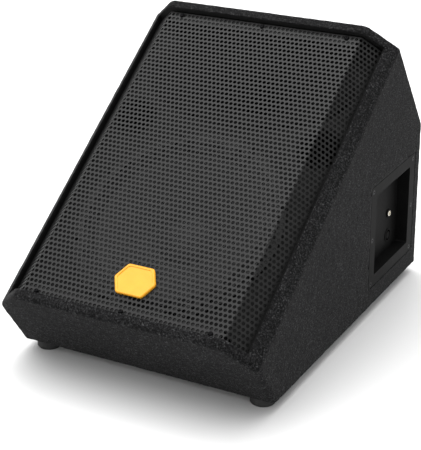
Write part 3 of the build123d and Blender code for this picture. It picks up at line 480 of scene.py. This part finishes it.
class FlatGrille:
    """The grille's outline and holes as one flat pattern of polygons.

    Each hole has twelve corners, at 15 degrees and then every 30, so bridges to its six neighbours
    leave its rim at 0, 60, 120 and so on.
    """

    def __init__(self, half_width, length):
        self.half_width = half_width
        self.length = length
        self.points = []
        self.index = {}
        self.faces = []
        self.rows = []
        first = (length - (GRILLE_ROWS - 1) * ROW_SPACING) / 2
        count = int((2 * half_width - 2 * (HOLE_RADIUS + HOLE_MARGIN)) / HOLE_SPACING) + 1
        for row in range(GRILLE_ROWS):
            in_row = count - row % 2
            start = -(in_row - 1) * HOLE_SPACING / 2
            along = first + row * ROW_SPACING
            self.rows.append([(start + column * HOLE_SPACING, along) for column in range(in_row)])

    def point(self, place):
        key = (round(place[0] * KEYS_PER_METRE), round(place[1] * KEYS_PER_METRE))
        if key not in self.index:
            self.index[key] = len(self.points)
            self.points.append(place)
        return self.index[key]

    def face(self, *places):
        self.faces.append([self.point(place) for place in places])

    def corners(self, centre, *degrees):
        return [hole_corner(centre, angle) for angle in degrees]

    def bridge(self, low, high, low_angle):
        """The strip between the facing edges of two neighbouring holes."""
        self.face(*self.corners(low, low_angle - 15, low_angle + 15),
                  *self.corners(high, low_angle + 165, low_angle + 195))

    def build(self):
        for row in self.rows:
            for left, right in zip(row, row[1:]):
                self.bridge(left, right, 0)
        for below, above in zip(self.rows, self.rows[1:]):
            self.between_rows(below, above)
        self.end_border(self.rows[0], 0.0, -1)
        self.end_border(self.rows[-1], self.length, 1)
        for side in (-1, 1):
            self.side_border(side)

    def between_rows(self, below, above):
        for centre in below:
            for sideways, angle in ((1, 60), (-1, 120)):
                partner = hole_at(above, centre[0] + sideways * HOLE_SPACING / 2)
                if partner:
                    self.bridge(centre, partner, angle)
        self.gaps(below, above, 1)
        self.gaps(above, below, -1)

    def gaps(self, pair_row, single_row, turn):
        """The six-sided islands between two holes of one row and one of the next."""
        for left, right in zip(pair_row, pair_row[1:]):
            tip = hole_at(single_row, (left[0] + right[0]) / 2)
            if tip:
                self.face(*self.corners(left, 15 * turn, 45 * turn),
                          *self.corners(tip, -105 * turn, -75 * turn),
                          *self.corners(right, 135 * turn, 165 * turn))

    def end_border(self, row, edge, turn):
        def above(centre, degrees):
            return (hole_corner(centre, degrees)[0], edge)
        for centre in row:
            self.face(*self.corners(centre, 75 * turn, 105 * turn),
                      above(centre, 105 * turn), above(centre, 75 * turn))
        for left, right in zip(row, row[1:]):
            self.face(*self.corners(left, 15 * turn, 45 * turn, 75 * turn), above(left, 75 * turn),
                      above(right, 105 * turn), *self.corners(right, 105 * turn, 135 * turn, 165 * turn))

    def side_border(self, side):
        edge = side * self.half_width
        last = [row[-1] if side > 0 else row[0] for row in self.rows]

        def at(centre, degrees):
            """A hole's corner, with degrees counted from straight out of this side."""
            return hole_corner(centre, degrees if side > 0 else 180 - degrees)

        def beside(centre, degrees):
            return (edge, at(centre, degrees)[1])
        for centre in last:
            self.face(at(centre, -15), beside(centre, -15), beside(centre, 15), at(centre, 15))
        for below, above in zip(last, last[1:]):
            outwards = (above[0] - below[0]) * side > 0
            lower = (15, 45) if outwards else (15, 45, 75, 105)
            upper = (255, 285, 315, 345) if outwards else (315, 345)
            self.face(beside(below, 15), *[at(below, angle) for angle in lower],
                      *[at(above, angle) for angle in upper], beside(above, -15))
        for centre, limit, turn in ((last[0], 0.0, -1), (last[-1], self.length, 1)):
            self.face(beside(centre, 15 * turn), (edge, limit), (at(centre, 75 * turn)[0], limit),
                      at(centre, 75 * turn), at(centre, 45 * turn), at(centre, 15 * turn))


def fold(across, depth, half_flat, bevel):
    """A point of the flat sheet bent down at the bevel: across stays or turns, depth is below its face."""
    side = 1 if across >= 0 else -1
    start = half_flat - FOLD_RADIUS * tan(bevel / 2)
    beyond = abs(across) - start
    if beyond <= 0:
        return across, -depth
    turn = min(bevel, beyond / FOLD_RADIUS)
    rest = beyond - turn * FOLD_RADIUS
    radius = FOLD_RADIUS - depth
    x = start + radius * sin(turn) + rest * cos(turn)
    rise = radius * cos(turn) - FOLD_RADIUS - rest * sin(turn)
    return side * x, rise


def make_grille():
    bevel = atan2(EDGE_RISE, (WIDTH - FLAT_WIDTH) / 2)
    half_flat = FLAT_WIDTH / 2 - GRILLE_RECESS * tan(bevel / 2)
    flank = (GRILLE_HALF - half_flat) / cos(bevel)
    half_width = half_flat - 2 * FOLD_RADIUS * tan(bevel / 2) + FOLD_RADIUS * bevel + flank
    flat = FlatGrille(half_width, GRILLE_END - GRILLE_START)
    flat.build()
    count = len(flat.points)
    vertices = []
    for depth in (0.0, SHEET):
        for across, along in flat.points:
            x, rise = fold(across, depth, half_flat, bevel)
            vertices.append(on_front(x, along, rise))
    used = {}
    faces = []
    for face in flat.faces:
        area = sum(flat.points[a][0] * flat.points[b][1] - flat.points[b][0] * flat.points[a][1]
                   for a, b in zip(face, face[1:] + face[:1]))
        face = face if area > 0 else face[::-1]
        faces.append(face)
        faces.append([index + count for index in reversed(face)])
        for a, b in zip(face, face[1:] + face[:1]):
            used[(a, b)] = True
    for a, b in used:
        if (b, a) not in used:
            faces.append([b, a, a + count, b + count])
    mesh = bpy.data.meshes.new("perforated_grille")
    mesh.from_pydata(vertices, [], faces)
    mesh.materials.append(looks["grille_paint"])
    piece = bpy.data.objects.new("perforated_grille", mesh)
    bpy.context.scene.collection.objects.link(piece)
    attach(piece, "cabinet")
    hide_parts("grille")


# ---------------------------------------------------------------- carpet
CARPET_STEP = 5.5 * MM           # longest mesh edge on the visible side
HIDDEN_STEP = 40.0 * MM          # and on the side against the boards
NAP_HEIGHT = 0.35 * MM
COARSE_NAP = 9.0                 # size of the nap's swells, in mm
FINE_NAP = 3.7
FELT_SHARP = radians(50)
HALVINGS = 9                     # most rounds that refine makes


def add_piece(name, mesh, slot):
    """A smooth-shaded object of this mesh, in its slot's material."""
    for face in mesh.polygons:
        face.use_smooth = True
    mesh.materials.append(looks[slot])
    piece = bpy.data.objects.new(name, mesh)
    bpy.context.scene.collection.objects.link(piece)
    return piece


def refine(shell, step, wanted):
    """Halves the long edges of the wanted faces, round by round."""
    for _ in range(HALVINGS):
        long_edges = [edge for edge in shell.edges
                      if edge.calc_length() > step and any(wanted(face) for face in edge.link_faces)]
        if not long_edges:
            return
        bmesh.ops.subdivide_edges(shell, edges=long_edges, cuts=1)
        bmesh.ops.triangulate(shell, faces=[face for face in shell.faces if len(face.verts) > 3])
        shell.normal_update()


def make_carpet():
    """The felt: the frame's own skin, finely divided outside and given a slightly uneven nap."""
    shell = bmesh.new()
    shell.from_mesh(nodes["carpet_cover"].data)
    bmesh.ops.remove_doubles(shell, verts=shell.verts, dist=0.002 * MM)
    shell.normal_update()
    low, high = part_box("carpet_cover")
    middle = (low + high) / 2

    def faces_out(face):
        return face.normal.dot(face.calc_center_median() - middle) > 0

    refine(shell, HIDDEN_STEP, lambda face: True)
    refine(shell, CARPET_STEP, faces_out)
    for vertex in shell.verts:
        if all(faces_out(face) for face in vertex.link_faces):
            place = vertex.co * 1000
            nap = noise.noise(place / COARSE_NAP) + 0.6 * noise.noise(place / FINE_NAP)
            vertex.co += vertex.normal * NAP_HEIGHT * nap
    mesh = bpy.data.meshes.new("felt_cover")
    shell.to_mesh(mesh)
    shell.free()
    piece = add_piece("felt_cover", mesh, "carpet")
    mesh.set_sharp_from_angle(angle=FELT_SHARP)
    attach(piece, "cabinet")
    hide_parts("carpet_cover")


# ---------------------------------------------------------------- soft parts inside
PROFILE_POINTS = 16              # along each pleat
TURNS = 144                      # around the axis


def make_pleated_ring(name, node, slot, body, radii, height, ends, waves, thickness, lip):
    """A pleated ring between a moving part and its fixed rim, which bends as the part travels.

    radii are the inner edge, the foot of the rim and the rim's outer edge. ends and lip are levels
    above the lowest point of the CAD node, and height is how far each pleat rises from them.
    """
    inner, foot, outer = radii
    low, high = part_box(node)
    lowest = min(slope_height(vertex.co) for vertex in nodes[node].data.vertices)
    centre = (low + high) / 2
    centre -= OUTWARD * (slope_height(centre) - lowest)
    count = PROFILE_POINTS * waves
    upper = []
    for i in range(count + 1):
        part = i / count
        level = ends[0] + (ends[1] - ends[0]) * part + height * sin(pi * waves * part) ** 2
        upper.append((inner + (foot - inner) * part, level))
    upper.append((outer, lip))
    profile = upper + [(radius, level - thickness) for radius, level in reversed(upper)]
    vertices, faces, shares = [], [], []
    for turn in range(TURNS):
        around = ACROSS * cos(2 * pi * turn / TURNS) + UP_SLOPE * sin(2 * pi * turn / TURNS)
        for radius, level in profile:
            vertices.append(centre + around * radius + OUTWARD * level)
            share = min(max((foot - radius) / (foot - inner), 0.0), 1.0)
            shares.append(share * share * (3 - 2 * share))
    size = len(profile)
    for turn in range(TURNS):
        here, beyond = turn * size, (turn + 1) % TURNS * size
        for i in range(size):
            following = (i + 1) % size
            faces.append((here + i, here + following, beyond + following, beyond + i))
    mesh = bpy.data.meshes.new(name)
    mesh.from_pydata(vertices, [], faces)
    piece = add_piece(name, mesh, slot)
    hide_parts(node)
    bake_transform(piece, "cabinet", body, start=tuple(centre), end=tuple(centre + OUTWARD * MM))
    mesh.attributes["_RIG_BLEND"].data.foreach_set("value", np.array(shares, np.float32))


WADDING_STEP = 7 * MM
LUMP = 7 * MM                    # how far the lumps reach in from the CAD block
COARSE_LUMP = 38.0               # size of the lumps, in mm
FINE_LUMP = 11.0
EDGE_ZONE = 0.15                 # share of the pad, next to its edges, that gets thinner
EDGE_THINNING = 0.45


def make_wadding():
    """A lumpy pad: a finely divided block drawn in unevenly, most at its edges."""
    low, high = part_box("damping_wadding")
    size = high - low
    middle = (low + high) / 2
    pad = bmesh.new()
    bmesh.ops.create_cube(pad, size=1.0)
    for vertex in pad.verts:
        vertex.co = middle + Vector([a * b for a, b in zip(vertex.co, size)])
    bmesh.ops.triangulate(pad, faces=pad.faces)
    refine(pad, WADDING_STEP, lambda face: True)
    for vertex in pad.verts:
        off = vertex.co - middle
        edge_share = max(abs(off.x) / (size.x / 2), abs(off.z) / (size.z / 2))
        place = vertex.co * 1000
        lumps = 0.5 + 0.5 * noise.noise(place / COARSE_LUMP) + 0.25 * noise.noise(place / FINE_LUMP)
        thin = EDGE_THINNING * max(0.0, edge_share - (1 - EDGE_ZONE)) / EDGE_ZONE
        if off.y < size.y / 2 - MM:
            vertex.co.y += (off.y + size.y / 2 < MM) * LUMP * lumps + thin * (size.y / 2 - off.y)
        vertex.co.x -= off.x / (size.x / 2) * LUMP * lumps * 0.5
        vertex.co.z -= off.z / (size.z / 2) * LUMP * lumps * 0.5
    mesh = bpy.data.meshes.new("wadding_pad")
    pad.to_mesh(mesh)
    pad.free()
    piece = add_piece("wadding_pad", mesh, "wadding")
    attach(piece, "cabinet")
    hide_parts("damping_wadding")


make_camera()
make_studio()
make_floor()
dress_nodes()
make_grille()
make_carpet()
make_pleated_ring("surround_pleats", "woofer_surround", "treated_cloth", "woofer_moving_parts",
                  radii=(122.3 * MM, 139 * MM, 145 * MM), height=4.5 * MM, ends=(0.8 * MM, 3.8 * MM),
                  waves=2, thickness=0.8 * MM, lip=3.8 * MM)
make_pleated_ring("spider_disc", "woofer_spider", "spider_cloth", "woofer_moving_parts",
                  radii=(25.6 * MM, 68 * MM, 78 * MM), height=2.5 * MM, ends=(0.6 * MM, 0.6 * MM),
                  waves=6, thickness=0.6 * MM, lip=0.6 * MM)
make_pleated_ring("diaphragm_roll", "driver_suspension", "film", "driver_moving_parts",
                  radii=(22.5 * MM, 30 * MM, 36 * MM), height=-1.6 * MM, ends=(1.9 * MM, 1.9 * MM),
                  waves=1, thickness=0.3 * MM, lip=1.9 * MM)
make_wadding()
